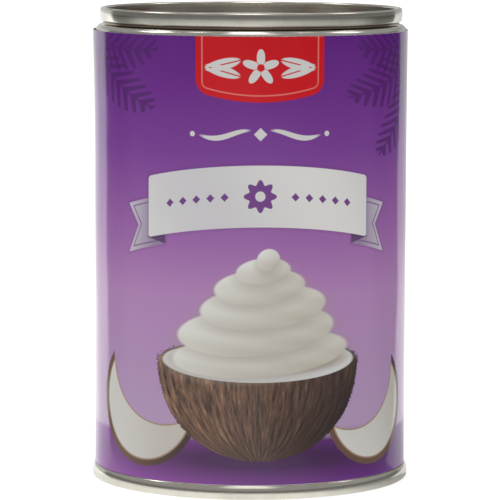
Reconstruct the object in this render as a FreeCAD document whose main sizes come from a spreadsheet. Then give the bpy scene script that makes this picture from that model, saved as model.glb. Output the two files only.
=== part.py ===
"""A 400 ml round food can, filled and shut: a necked-in tinplate body, two beaded ends double-
seamed on to it, and a paper label wrapped round the wall with a glued lap.

Millimetres, +Z up, origin on the can's axis at the floor. The label's lap faces +Y.

Every size is a cell of the sheet "Sizes", and every sketch is held by formulas of those cells.
What belongs to a seam is drawn in the crest's own frame, radius across and height over the
crest up, so one drawing serves the top, and upside down it serves the bottom.
"""
import FreeCAD, Part
import os
import re

import Sketcher

OUT_FOLDER = "parts"

SIZES = {
    # the can as a whole
    "can_height": 110.4,  # floor to the crest of the top seam
    "wall_radius": 36.4,  # outside of the plain wall
    # plates
    "body_plate": 0.20,
    "end_plate": 0.24,
    # neck, where the wall is drawn in to take a smaller end
    "neck_inset": 1.8,  # from the plain wall in to the neck
    "shoulder_bend": 1.5,  # from the plain wall on to the shoulder
    "neck_bend": 0.7,  # from the shoulder up to the neck
    "neck_straight": 0.2,  # plain neck left under the seam
    # double seam
    "seam_length": 3.15,  # crest to the tucked edge
    "seam_play": 0.06,  # sealing compound between two layers
    "seam_crown": 0.5,  # both bends of the crest
    "body_hook": 2.15,
    "cover_hook": 2.1,
    # end
    "groove_depth": 4.3,  # crest to the floor of the countersink groove
    "groove_bend": 0.6,
    "panel_rise": 1.3,  # floor of the groove to the panel
    "panel_bend": 0.4,
    "bead_margin": 3.6,  # edge of the panel to the middle of the outer bead
    "bead_pitch": 4.2,
    "bead_rise": 0.6,
    "bead_bend": 1.2,
    "step_margin": 12.4,  # edge of the panel to the step down to its middle
    "step_drop": 0.5,
    # label
    "label_paper": 0.15,
    "label_foot": 0.05,  # bottom seam to the label's lower edge
    "label_reveal": 1.95,  # top seam to the label's upper edge
    "lap_width": 8.0,
}
BEAD_COUNT = 2

ALIAS = re.compile(r"\b(" + "|".join(SIZES) + r")\b")
SKETCH_ORIGIN = (-1, 1)
H_AXIS, V_AXIS = -1, -2

CAN_AXIS = FreeCAD.Vector(0, 0, 1)
UPRIGHT = FreeCAD.Rotation(FreeCAD.Vector(1, 0, 0), 90)
UPSIDE_DOWN = FreeCAD.Rotation(FreeCAD.Vector(1, 0, 0), 180)

# Radii of the plain wall at its two seams.
NECK = "wall_radius - neck_inset"
FOOT = "wall_radius"


# Sheet and sketches


def build_sheet(doc):
    """Puts the sizes in a spreadsheet, one aliased cell each."""
    sheet = doc.addObject("Spreadsheet::Sheet", "Sizes")
    for row, (alias, value) in enumerate(SIZES.items(), start=1):
        sheet.set(f"A{row}", alias)
        sheet.set(f"B{row}", repr(value))
        sheet.setAlias(f"B{row}", alias)
    doc.recompute()
    return sheet


def cells(formula):
    """The formula with each size read from the sheet."""
    return ALIAS.sub(r"Sizes.\1", formula)


class Outline:
    """A run of lines and arcs in a sketch, with each corner's place and each arc's radius held
    by a formula. An arc turns through less than half a circle."""

    def __init__(self, sketch, start):
        self.sketch = sketch
        self.sheet = sketch.Document.getObject("Sizes")
        self.corner = start
        self.start = self.tail = None
        self.rules = []
        self.formulas = {}

    def value(self, formula):
        return float(self.sheet.evalExpression(cells(formula)))

    def point(self, corner):
        return FreeCAD.Vector(self.value(corner[0]), self.value(corner[1]), 0)

    def hold(self, kind, *target, formula):
        """Adds a size constraint, to be bound to its formula."""
        self.formulas[len(self.rules)] = formula
        self.rules.append(Sketcher.Constraint(kind, *target, self.value(formula)))

    def hold_point(self, point, corner):
        for kind, axis, formula in zip(("DistanceX", "DistanceY"), (V_AXIS, H_AXIS), corner):
            if formula == "0":
                self.rules.append(Sketcher.Constraint("PointOnObject", *point, axis))
            else:
                self.hold(kind, *SKETCH_ORIGIN, *point, formula=formula)

    def join(self, shape, head, tail, corner):
        """Adds an edge from the last corner to the next, and returns its number."""
        edge = self.sketch.addGeometry(shape)
        if self.tail is None:
            self.start = (edge, head)
            self.hold_point(self.start, self.corner)
        else:
            self.rules.append(Sketcher.Constraint("Coincident", *self.tail, edge, head))
        self.hold_point((edge, tail), corner)
        self.tail, self.corner = (edge, tail), corner
        return edge

    def line(self, *corner):
        self.join(Part.LineSegment(self.point(self.corner), self.point(corner)), 1, 2, corner)

    def bend(self, side, radius, *corner):
        """An arc to the corner, whose centre is on the "left" or "right" of the way there."""
        head, tail, size = self.point(self.corner), self.point(corner), self.value(radius)
        chord = tail - head
        across = FreeCAD.Vector(-chord.y, chord.x, 0).normalize() * (1 if side == "left" else -1)
        centre = (head + tail) / 2 + across * (size**2 - chord.Length**2 / 4) ** 0.5
        circle = Part.Circle(centre, CAN_AXIS, size)
        angles = [circle.parameter(head), circle.parameter(tail)]
        if side == "left":
            edge = self.join(Part.ArcOfCircle(circle, *angles), 1, 2, corner)
        else:
            edge = self.join(Part.ArcOfCircle(circle, *reversed(angles)), 2, 1, corner)
        self.hold("Radius", edge, formula=radius)

    def close(self):
        head, tail = self.point(self.corner), self.sketch.getPoint(*self.start)
        edge = self.sketch.addGeometry(Part.LineSegment(head, tail))
        self.rules.append(Sketcher.Constraint("Coincident", *self.tail, edge, 1))
        self.rules.append(Sketcher.Constraint("Coincident", edge, 2, *self.start))

    def finish(self):
        """Gives the sketch its constraints, and binds the sizes to their formulas."""
        self.sketch.addConstraint(self.rules)
        for index, formula in self.formulas.items():
            self.sketch.setExpression(f"Constraints[{index}]", cells(formula))


def half_run(radius, rise):
    """How far each half of an S of two equal bends runs while the S rises."""
    return f"sqrt(({radius}) * ({rise}) - ({rise})^2 / 4)"


def new_body(doc, name):
    body = doc.addObject("PartDesign::Body", "Body_" + name)
    body.Label = name
    return body


def body_sketch(body, name, role):
    """A sketch on one of the body's own origin planes."""
    plane = next(feature for feature in body.Origin.OriginFeatures if feature.Role == role)
    sketch = body.newObject("Sketcher::SketchObject", name)
    sketch.AttachmentSupport = [(plane, "")]
    sketch.MapMode = "FlatFace"
    return sketch


def turn(body, sketch, name):
    """Turns a section about the can's axis, and adds it to the body."""
    feature = body.newObject("PartDesign::Revolution", name)
    feature.Profile = sketch
    feature.ReferenceAxis = (sketch, ["V_Axis"])
    feature.Angle = 360


def raise_by(body, sketch, name, length):
    """Raises a plan by a formula's length, and adds it to the body."""
    feature = body.newObject("PartDesign::Pad", name)
    feature.Profile = sketch
    feature.setExpression("Length", cells(length))


# The layers of a seam, as radii outwards from the outside of the wall that it closes


def chuck_face(wall):
    return f"{wall} - body_plate - seam_play - end_plate"


def cover_hook_face(wall):
    return f"{wall} + seam_play"


def body_hook_inside(wall):
    return f"{wall} + end_plate + 2 * seam_play"


def body_hook_outside(wall):
    return f"{wall} + end_plate + body_plate + 2 * seam_play"


def seam_face(wall):
    return f"{wall} + 2 * end_plate + body_plate + 3 * seam_play"


# Heights in the crest's frame, of what the body and the ends share
FLANGE_TOP = "-end_plate - seam_play"
FLANGE_INSIDE = "end_plate / 2 + seam_play"
FLANGE_OUTSIDE = f"body_plate + {FLANGE_INSIDE}"
FLANGE_ROOT = f"{FLANGE_TOP} - ({FLANGE_OUTSIDE})"
FILL_DEPTH = "groove_depth + end_plate + seam_play"


# Filled body


def draw_filled_wall(outline):
    """The contents up to the level under either end, and the wall on to its two flanges."""
    under_seam = "can_height - seam_length - neck_straight"
    bends = "(shoulder_bend + neck_bend)"
    shoulder_run = f"sqrt(2 * {bends} * neck_inset - neck_inset^2)"
    outline.line(f"{FOOT} - body_plate", FILL_DEPTH)
    outline.line(f"{FOOT} - body_plate", f"-({FLANGE_ROOT})")
    outline.line(FOOT, f"-({FLANGE_ROOT})")
    outline.line(FOOT, f"{under_seam} - {shoulder_run}")
    outline.bend(
        "left",
        "shoulder_bend",
        f"{FOOT} - neck_inset * shoulder_bend / {bends}",
        f"{under_seam} - {shoulder_run} * neck_bend / {bends}",
    )
    outline.bend("right", "neck_bend", NECK, under_seam)
    outline.line(NECK, f"can_height + {FLANGE_ROOT}")
    outline.line(f"{NECK} - body_plate", f"can_height + {FLANGE_ROOT}")
    outline.line(f"{NECK} - body_plate", f"can_height - ({FILL_DEPTH})")
    outline.line("0", f"can_height - ({FILL_DEPTH})")
    outline.close()


def draw_flange(outline, wall):
    """The edge of the wall, curled outwards and folded down into the body hook."""
    hook_end = f"{FLANGE_TOP} - body_hook"
    middle = f"{wall} + {FLANGE_INSIDE}"
    outline.bend("right", FLANGE_OUTSIDE, middle, FLANGE_TOP)
    outline.bend("right", FLANGE_OUTSIDE, body_hook_outside(wall), FLANGE_ROOT)
    outline.line(body_hook_outside(wall), hook_end)
    outline.line(body_hook_inside(wall), hook_end)
    outline.line(body_hook_inside(wall), FLANGE_ROOT)
    outline.bend("left", FLANGE_INSIDE, middle, f"{FLANGE_TOP} - body_plate")
    outline.bend("left", FLANGE_INSIDE, wall, FLANGE_ROOT)
    outline.close()


def build_can_body(doc):
    body = new_body(doc, "can_body")
    section = body_sketch(body, "filled_wall_section", "XZ_Plane")
    outline = Outline(section, ("0", FILL_DEPTH))
    draw_filled_wall(outline)
    outline.finish()
    turn(body, section, "filled_wall")

    for name, wall in (("top_flange", NECK), ("bottom_flange", FOOT)):
        section = body_sketch(body, name + "_section", "XZ_Plane")
        if wall == NECK:
            section.setExpression("AttachmentOffset.Base.y", "Sizes.can_height")
        else:
            section.AttachmentOffset = FreeCAD.Placement(FreeCAD.Vector(), UPSIDE_DOWN)
        outline = Outline(section, (f"{wall} - body_plate", FLANGE_ROOT))
        draw_flange(outline, wall)
        outline.finish()
        turn(body, section, name)
    return body


# Ends


def draw_panel(outline, panel_edge):
    """From the middle of the panel over its step and beads to its edge."""
    panel = "panel_rise - groove_depth"
    half_step = half_run("bead_bend", "step_drop")
    half_bead = half_run("bead_bend", "bead_rise")
    step_edge = f"{panel_edge} - step_margin"
    outline.line(f"{step_edge} - 2 * {half_step}", f"{panel} - step_drop")
    outline.bend("left", "bead_bend", f"{step_edge} - {half_step}", f"{panel} - step_drop / 2")
    outline.bend("right", "bead_bend", step_edge, panel)
    for index in reversed(range(BEAD_COUNT)):
        bead = f"{panel_edge} - bead_margin - {index} * bead_pitch"
        outline.line(f"{bead} - 2 * {half_bead}", panel)
        outline.bend("left", "bead_bend", f"{bead} - {half_bead}", f"{panel} + bead_rise / 2")
        outline.bend("right", "bead_bend", f"{bead} + {half_bead}", f"{panel} + bead_rise / 2")
        outline.bend("left", "bead_bend", f"{bead} + 2 * {half_bead}", panel)
    outline.line(panel_edge, panel)


def draw_groove(outline, wall):
    """From the panel down into the countersink groove, and up the chuck wall."""
    chuck = chuck_face(wall)
    groove_top = "groove_bend - groove_depth"
    panel_side = f"{chuck} - 2 * groove_bend"
    outline.bend("right", "panel_bend", panel_side, "panel_rise - groove_depth - panel_bend")
    outline.line(panel_side, groove_top)
    outline.bend("left", "groove_bend", f"{chuck} - groove_bend", "-groove_depth")
    outline.bend("left", "groove_bend", chuck, groove_top)
    outline.line(chuck, "-seam_crown")


def draw_seam(outline, wall):
    """Over the crest, down the outside of the seam and up into the cover hook."""
    outside = seam_face(wall)
    fold = "(end_plate + body_plate / 2 + seam_play)"
    outline.bend("right", "seam_crown", f"{chuck_face(wall)} + seam_crown", "0")
    outline.line(f"{outside} - seam_crown", "0")
    outline.bend("right", "seam_crown", outside, "-seam_crown")
    outline.line(outside, f"{fold} - seam_length")
    outline.bend("right", fold, f"{outside} - {fold}", "-seam_length")
    outline.bend("right", fold, cover_hook_face(wall), f"{fold} - seam_length")
    outline.line(cover_hook_face(wall), "cover_hook - seam_length")


def build_end(doc, name, wall):
    """One end: the line of its outer face, given the plate's thickness and turned."""
    line = doc.addObject("Sketcher::SketchObject", name + "_line")
    line.Placement = FreeCAD.Placement(FreeCAD.Vector(), UPRIGHT)
    outline = Outline(line, ("0", "panel_rise - groove_depth - step_drop"))
    draw_panel(outline, f"{chuck_face(wall)} - 2 * groove_bend - panel_bend")
    draw_groove(outline, wall)
    draw_seam(outline, wall)
    outline.finish()

    section = doc.addObject("Part::Offset2D", name + "_section")
    section.Source = line
    section.Mode = "Skin"
    section.Join = "Intersection"
    section.Fill = True
    section.setExpression("Value", "-Sizes.end_plate")

    end = doc.addObject("Part::Revolution", "Turned_" + name)
    end.Label = name
    end.Source = section
    end.Axis = CAN_AXIS
    end.Angle = 360
    end.Solid = True
    if wall == NECK:
        end.setExpression("Placement.Base.z", "Sizes.can_height")
    else:
        end.Placement = FreeCAD.Placement(FreeCAD.Vector(), UPSIDE_DOWN)
    return end


# Label


def build_label(doc):
    """A paper sleeve, with its far end glued over its near end at the back."""
    body = new_body(doc, "label")
    foot = "seam_length + label_foot"
    length = f"can_height - seam_length - label_reveal - ({foot})"

    sleeve = body_sketch(body, "sleeve_plan", "XY_Plane")
    for index, radius in enumerate((FOOT, f"{FOOT} + label_paper")):
        sleeve.addGeometry(Part.Circle(FreeCAD.Vector(), CAN_AXIS, SIZES["wall_radius"] + index))
        sleeve.addConstraint(Sketcher.Constraint("Coincident", index, 3, *SKETCH_ORIGIN))
        circle = sleeve.addConstraint(Sketcher.Constraint("Radius", index, SIZES["wall_radius"]))
        sleeve.setExpression(f"Constraints[{circle}]", cells(radius))

    def across(radius):
        """How far back a circle lies where it meets either edge of the lap."""
        return f"sqrt(({radius})^2 - lap_width^2 / 4)"

    lap = body_sketch(body, "lap_plan", "XY_Plane")
    inside, outside = f"{FOOT} + label_paper", f"{FOOT} + 2 * label_paper"
    outline = Outline(lap, ("lap_width / 2", across(inside)))
    outline.bend("left", inside, "-lap_width / 2", across(inside))
    outline.line("-lap_width / 2", across(outside))
    outline.bend("right", outside, "lap_width / 2", across(outside))
    outline.close()
    outline.finish()

    for plan, name in ((sleeve, "sleeve"), (lap, "lap")):
        plan.setExpression("AttachmentOffset.Base.z", cells(foot))
        raise_by(body, plan, name, length)
    return body


def export(doc, parts):
    """Checks every object and each part's solid, then writes one STEP file for each part."""
    doc.recompute()
    failed = [item.Name for item in doc.Objects if {"Invalid", "Error"} & set(item.State)]
    if failed:
        raise RuntimeError(f"not rebuilt: {failed}")
    for part in parts:
        if part.Shape.isNull() or not part.Shape.isValid() or len(part.Shape.Solids) != 1:
            raise RuntimeError(f"not one valid solid: {part.Label}")
    os.makedirs(OUT_FOLDER, exist_ok=True)
    for part in parts:
        part.Shape.exportStep(os.path.join(OUT_FOLDER, part.Label + ".step"))
        print(f"{part.Label}: {part.Shape.Volume:.1f} mm3")


def main():
    doc = FreeCAD.newDocument("food_can")
    build_sheet(doc)
    parts = [
        build_can_body(doc),
        build_end(doc, "top_end", NECK),
        build_end(doc, "bottom_end", FOOT),
        build_label(doc),
    ]
    export(doc, parts)


main()
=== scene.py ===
"""A shut 400 ml food can with a paper label, dressed for a plain studio.

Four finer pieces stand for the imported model's four solids: the tinplate body, an end seamed on at
the top, another at the foot, and the printed paper label. Geometry Nodes work all four out, the
plates by turning a profile and the label by wrapping a sheet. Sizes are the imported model's, in
millimetres until a mesh is made.
"""
import sys
import logging
import math
from dataclasses import dataclass
from enum import Enum
from itertools import accumulate

import bpy
from mathutils import Matrix, Vector


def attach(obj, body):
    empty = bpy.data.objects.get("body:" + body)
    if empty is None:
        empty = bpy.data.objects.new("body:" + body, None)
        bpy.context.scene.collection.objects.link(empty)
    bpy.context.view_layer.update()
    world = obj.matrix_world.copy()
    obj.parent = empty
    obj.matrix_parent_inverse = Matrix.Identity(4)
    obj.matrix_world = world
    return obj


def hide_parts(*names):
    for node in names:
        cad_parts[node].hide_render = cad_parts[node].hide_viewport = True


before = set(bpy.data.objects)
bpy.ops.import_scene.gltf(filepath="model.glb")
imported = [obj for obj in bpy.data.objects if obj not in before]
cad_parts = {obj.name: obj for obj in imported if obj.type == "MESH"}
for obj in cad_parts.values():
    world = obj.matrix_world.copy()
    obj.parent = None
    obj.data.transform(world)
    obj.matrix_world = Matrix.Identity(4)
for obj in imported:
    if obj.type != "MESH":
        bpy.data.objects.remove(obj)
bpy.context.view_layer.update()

MM = 0.001
BODY = "root"
WHITE = (1.0, 1.0, 1.0, 1.0)

log = logging.getLogger("can")


# Nodes


@dataclass(frozen=True)
class Graph:
    """One node tree being wired up."""

    tree: bpy.types.NodeTree

    # Where the Mix node has its share, its two colours and the result.
    MIX_INPUTS = (0, 6, 7)
    MIX_RESULT = 2

    def add(self, kind: str, *values: object, **named: object) -> bpy.types.Node:
        """Adds a node.

        Args:
            kind: the node's type name.
            values: what feeds its first inputs, in order. None leaves an input as it is.
            named: the node's settings in small letters, and inputs by their capital names.

        Returns:
            The node.
        """
        node = self.tree.nodes.new(kind)
        for name, setting in named.items():
            if name.islower():
                setattr(node, name, setting)
        for socket, value in zip(node.inputs, values):
            self.feed(socket, value)
        for name, value in named.items():
            if not name.islower():
                self.feed(node.inputs[name.replace("_", " ")], value)
        return node

    def feed(self, socket: bpy.types.NodeSocket, value: object) -> None:
        """Links a field or a socket to an input, or sets the input's own value.

        Args:
            socket: the input.
            value: a Field, a socket, an Ink, a plain value, or None to leave it.
        """
        if isinstance(value, Field):
            value = value.socket
        elif isinstance(value, Ink):
            value = ink(*value.value)
        if isinstance(value, bpy.types.NodeSocket):
            self.tree.links.new(value, socket)
        elif value is not None:
            socket.default_value = value

    def field(self, socket: bpy.types.NodeSocket) -> "Field":
        """The socket as a field."""
        return Field(self, socket)

    def vector(self, x: object, y: object, z: object = 0.0) -> bpy.types.NodeSocket:
        """A vector put together from its three parts."""
        return self.add("ShaderNodeCombineXYZ", x, y, z).outputs[0]

    def parts(self, vector: object) -> tuple["Field", "Field", "Field"]:
        """The three parts of a vector."""
        outputs = self.add("ShaderNodeSeparateXYZ", vector).outputs
        return tuple(self.field(output) for output in outputs)

    def noise(self, place: object, scale: object, detail: float = 2.0, rough: float = 0.5) -> "Field":
        """Smooth noise from 0 to 1.

        Args:
            place: where the noise is read.
            scale: how fine it is.
            detail: how many finer layers it has.
            rough: how much the finer layers count.

        Returns:
            The noise.
        """
        sizes = {"Scale": scale, "Detail": detail, "Roughness": rough}
        node = self.add("ShaderNodeTexNoise", noise_dimensions="3D", Vector=place, **sizes)
        return self.field(node.outputs[0])

    def blend(self, share: object, first: object, second: object) -> bpy.types.NodeSocket:
        """A colour between two others.

        Args:
            share: 0 for the first and 1 for the second.
            first: a colour, or its socket.
            second: a colour, or its socket.

        Returns:
            The colour's socket.
        """
        node = self.add("ShaderNodeMix", data_type="RGBA")
        for index, value in zip(self.MIX_INPUTS, (share, first, second)):
            self.feed(node.inputs[index], value)
        return node.outputs[self.MIX_RESULT]


@dataclass(frozen=True)
class Field:
    """A number at each point of a surface. Python's own signs turn into Math nodes."""

    graph: Graph
    socket: bpy.types.NodeSocket

    def run(self, operation: str, *others: object, clamp: bool = False) -> "Field":
        """The field put through a Math node, whose further inputs are the others."""
        node = self.graph.add("ShaderNodeMath", self, *others, operation=operation, use_clamp=clamp)
        return Field(self.graph, node.outputs[0])

    def __add__(self, other: object) -> "Field":
        """The sum."""
        return self.run("ADD", other)

    def __sub__(self, other: object) -> "Field":
        """The difference."""
        return self.run("SUBTRACT", other)

    def __mul__(self, other: object) -> "Field":
        """The product."""
        return self.run("MULTIPLY", other)

    def __truediv__(self, other: object) -> "Field":
        """The quotient."""
        return self.run("DIVIDE", other)

    def __neg__(self) -> "Field":
        """The field with its sign turned."""
        return self.run("MULTIPLY", -1.0)

    def __abs__(self) -> "Field":
        """The field without its sign."""
        return self.run("ABSOLUTE")

    def root(self) -> "Field":
        """The square root."""
        return self.run("SQRT")

    def sine(self) -> "Field":
        """The sine."""
        return self.run("SINE")

    def at_least(self, other: object) -> "Field":
        """The larger of two."""
        return self.run("MAXIMUM", other)

    def at_most(self, other: object) -> "Field":
        """The smaller of two."""
        return self.run("MINIMUM", other)

    def above(self, level: float) -> "Field":
        """1 where the field is over a level, 0 elsewhere."""
        return self.run("GREATER_THAN", level)

    def kept(self) -> "Field":
        """The field kept from 0 to 1."""
        return self.run("ADD", 0.0, clamp=True)

    def flipped(self) -> "Field":
        """1 less the field."""
        return -self + 1.0

    def inside(self, edge: float) -> "Field":
        """1 where the field is below zero and 0 where it is above, with an edge of some width."""
        return self.run("MULTIPLY_ADD", -1.0 / edge, 0.5, clamp=True)

    def ramp(self, low: float, high: float) -> "Field":
        """0 where the field is low and 1 where it is high, in a straight line between."""
        return self.run("MULTIPLY_ADD", 1.0 / (high - low), -low / (high - low), clamp=True)


@dataclass(frozen=True)
class Fade:
    """A strength that comes in along a straight line, between two readings of a field."""

    low: float
    high: float
    full: float = 1.0

    def of(self, field: Field) -> Field:
        """The strength where the field is read."""
        share = field.ramp(self.low, self.high)
        return share if self.full == 1.0 else share * self.full


def emptied(owner: bpy.types.ID) -> Graph:
    """The graph of a material or a world, with nothing in it.

    Args:
        owner: the material or the world.

    Returns:
        Its graph.
    """
    owner.use_nodes = True
    owner.node_tree.nodes.clear()
    return Graph(owner.node_tree)


def added(name: str, data: bpy.types.ID) -> bpy.types.Object:
    """A new object in the scene.

    Args:
        name: the object's name.
        data: its mesh, lamp or camera.

    Returns:
        The object, at the origin.
    """
    thing = bpy.data.objects.new(name, data)
    bpy.context.scene.collection.objects.link(thing)
    return thing


def length_of(first: Field, second: Field) -> Field:
    """How far two fields, taken as a point, lie from the origin."""
    return (first * first + second * second).root()


def ink(red: int, green: int, blue: int) -> tuple[float, float, float, float]:
    """A colour given as screens show it, as the linear one that shaders take.

    Args:
        red: from 0 to 255.
        green: from 0 to 255.
        blue: from 0 to 255.

    Returns:
        Red, green, blue and an alpha of 1.
    """
    shares = (value / 255 for value in (red, green, blue))
    linear = (s / 12.92 if s <= 0.04045 else ((s + 0.055) / 1.055) ** 2.4 for s in shares)
    return (*linear, 1.0)


# Outlines of turned plate


class Side(Enum):
    """The side of the way that a bend's centre is on."""

    LEFT = 1
    RIGHT = -1


class Profile:
    """A line of (radius, height) points to be turned, with the air on its left."""

    STEPS_PER_TURN = 40
    LEAST_STEPS = 3
    SUPPORT = 0.06
    SUPPORT_SHARE = 0.25

    def __init__(self, radius: float, height: float) -> None:
        """Starts the line at its first point."""
        self.points = [Vector((radius, height))]
        self.normals: list[Vector] = []

    def line(self, radius: float, height: float) -> "Profile":
        """Runs straight on, with a point near either end, so that flats shade flat.

        Args:
            radius: of the line's end.
            height: of the line's end.

        Returns:
            The profile.
        """
        start, end = self.points[-1], Vector((radius, height))
        way = end - start
        normal = Vector((-way.y, way.x)).normalized()
        near = min(self.SUPPORT / way.length, self.SUPPORT_SHARE)
        if not self.normals:
            self.normals.append(normal)
        for share in (near, 1 - near, 1):
            self.points.append(start.lerp(end, share))
            self.normals.append(normal)
        return self

    def bend(self, side: Side, size: float, radius: float, height: float) -> "Profile":
        """Runs on along an arc of less than half a turn.

        Args:
            side: where its centre is.
            size: its own radius.
            radius: of the arc's end.
            height: of the arc's end.

        Returns:
            The profile.
        """
        start, end = self.points[-1], Vector((radius, height))
        chord = end - start
        across = Vector((-chord.y, chord.x)).normalized() * side.value
        centre = (start + end) / 2 + across * math.sqrt(max(size**2 - chord.length**2 / 4, 0))
        first, last = start - centre, end - centre
        turn = last.angle_signed(first)
        steps = max(self.LEAST_STEPS, round(abs(turn) / math.tau * self.STEPS_PER_TURN))
        for step in range(0 if not self.normals else 1, steps + 1):
            angle = turn * step / steps
            arm = Vector((
                first.x * math.cos(angle) - first.y * math.sin(angle),
                first.x * math.sin(angle) + first.y * math.cos(angle),
            ))
            if step:
                self.points.append(centre + arm)
            self.normals.append(-arm.normalized() * side.value)
        return self

    def plate(self, thickness: float, closed: bool = True) -> list[Vector]:
        """Gives the line a plate's thickness on its right.

        Args:
            thickness: of the plate.
            closed: whether the other face runs back to the start of the first.

        Returns:
            The points of both faces.
        """
        back = [point - normal * thickness for point, normal in zip(self.points, self.normals)]
        points = self.points + back[::-1]
        return points + [self.points[0]] if closed else points


def half_run(bend: float, rise: float) -> float:
    """How far each half of an S of two equal bends runs while the S rises."""
    return math.sqrt(bend * rise - rise**2 / 4)


# Geometry Nodes


class NodeGroup:
    """A group of nodes with named inputs and outputs."""

    KIND = "ShaderNodeTree"
    SOCKETS = {
        float: "NodeSocketFloat",
        int: "NodeSocketInt",
        Vector: "NodeSocketVector",
        bpy.types.Mesh: "NodeSocketGeometry",
        bpy.types.Material: "NodeSocketMaterial",
    }

    def __init__(self, name: str, inputs: dict[str, type], outputs: dict[str, type]) -> None:
        """Makes the group with its sockets.

        Args:
            name: the group's name.
            inputs: the kind of each input. A geometry one comes first.
            outputs: the kind of each output.
        """
        self.tree = bpy.data.node_groups.new(name, self.KIND)
        self.graph = Graph(self.tree)
        self.identifiers = {}
        for way, sockets in (("INPUT", inputs), ("OUTPUT", outputs)):
            for title, kind in sockets.items():
                settings = {"name": title, "in_out": way, "socket_type": self.SOCKETS[kind]}
                self.identifiers[title] = self.tree.interface.new_socket(**settings).identifier
        self.entry = self.graph.add("NodeGroupInput")

    def given(self, title: str) -> bpy.types.NodeSocket:
        """The socket that brings in a named input."""
        return self.entry.outputs[title]

    def value(self, title: str) -> Field:
        """A named number, as a field."""
        return self.graph.field(self.given(title))


class Tree(NodeGroup):
    """A Geometry Nodes tree, and the pieces that it makes."""

    KIND = "GeometryNodeTree"
    PIECE = {"Piece": bpy.types.Mesh}
    CHART = "OFBake"
    DOUBLES = 0.002
    CREASE = 60.0

    def grid(self, across: object, along: object) -> tuple[bpy.types.NodeSocket, Field, Field]:
        """A sheet of faces to be bent into shape.

        Args:
            across: points one way.
            along: points the other way.

        Returns:
            The sheet, and how far across and along it each point lies, from 0 to 1.
        """
        grid = self.graph.add("GeometryNodeMeshGrid", 1.0, 1.0, across, along)
        place = self.graph.add("GeometryNodeInputPosition").outputs[0]
        x, y, _ = self.graph.parts(place)
        return grid.outputs["Mesh"], x + 0.5, y + 0.5

    def store(
        self, shape: object, name: str, kind: str, domain: str, value: object
    ) -> bpy.types.NodeSocket:
        """The shape with a value of some data type kept under a name, for each item of a domain."""
        settings = {"data_type": kind, "domain": domain, "Name": name, "Value": value}
        return self.graph.add("GeometryNodeStoreNamedAttribute", shape, **settings).outputs[0]

    def read(self, name: str, kind: str) -> Field:
        """A named attribute of some data type."""
        node = self.graph.add("GeometryNodeInputNamedAttribute", data_type=kind, Name=name)
        return self.graph.field(node.outputs["Attribute"])

    def on_faces(self, value: Field) -> Field:
        """A field worked out once for each face."""
        node = self.graph.add("GeometryNodeFieldOnDomain", value, data_type="FLOAT", domain="FACE")
        return self.graph.field(node.outputs[0])

    def finish(self, shape: bpy.types.NodeSocket) -> None:
        """Joins the shape's doubles, smooths it up to a crease, and gives it its finish.

        Args:
            shape: what the tree has made.
        """
        graph = self.graph
        whole = graph.add("GeometryNodeMergeByDistance", shape, Distance=self.DOUBLES * MM)
        smooth = graph.add("GeometryNodeSetShadeSmooth", whole.outputs[0], None, True, domain="FACE")
        angle = graph.field(graph.add("GeometryNodeInputMeshEdgeAngle").outputs[0])
        sharp = angle.above(math.radians(self.CREASE))
        edged = graph.add("GeometryNodeSetShadeSmooth", smooth.outputs[0], sharp, False, domain="EDGE")
        real = graph.add("GeometryNodeRealizeInstances", edged.outputs[0])
        dressed = graph.add("GeometryNodeSetMaterial", real.outputs[0], Material=self.given("Finish"))
        graph.add("NodeGroupOutput", dressed.outputs[0])

    def make(self, name: str, mesh: bpy.types.Mesh, **values: object) -> bpy.types.Object:
        """Runs the tree once and keeps the result as a plain mesh.

        Args:
            name: the piece's name.
            mesh: what goes into the tree.
            values: its named inputs.

        Returns:
            The piece, at the origin.
        """
        piece = added(name, mesh)
        modifier = piece.modifiers.new("shape", "NODES")
        modifier.node_group = self.tree
        for title, value in values.items():
            modifier[self.identifiers[title]] = value
        graph = bpy.context.evaluated_depsgraph_get()
        made = bpy.data.meshes.new_from_object(
            piece.evaluated_get(graph), preserve_all_data_layers=True, depsgraph=graph
        )
        piece.modifiers.clear()
        piece.data = made
        made.name = name
        bpy.data.meshes.remove(mesh)
        return piece


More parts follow.
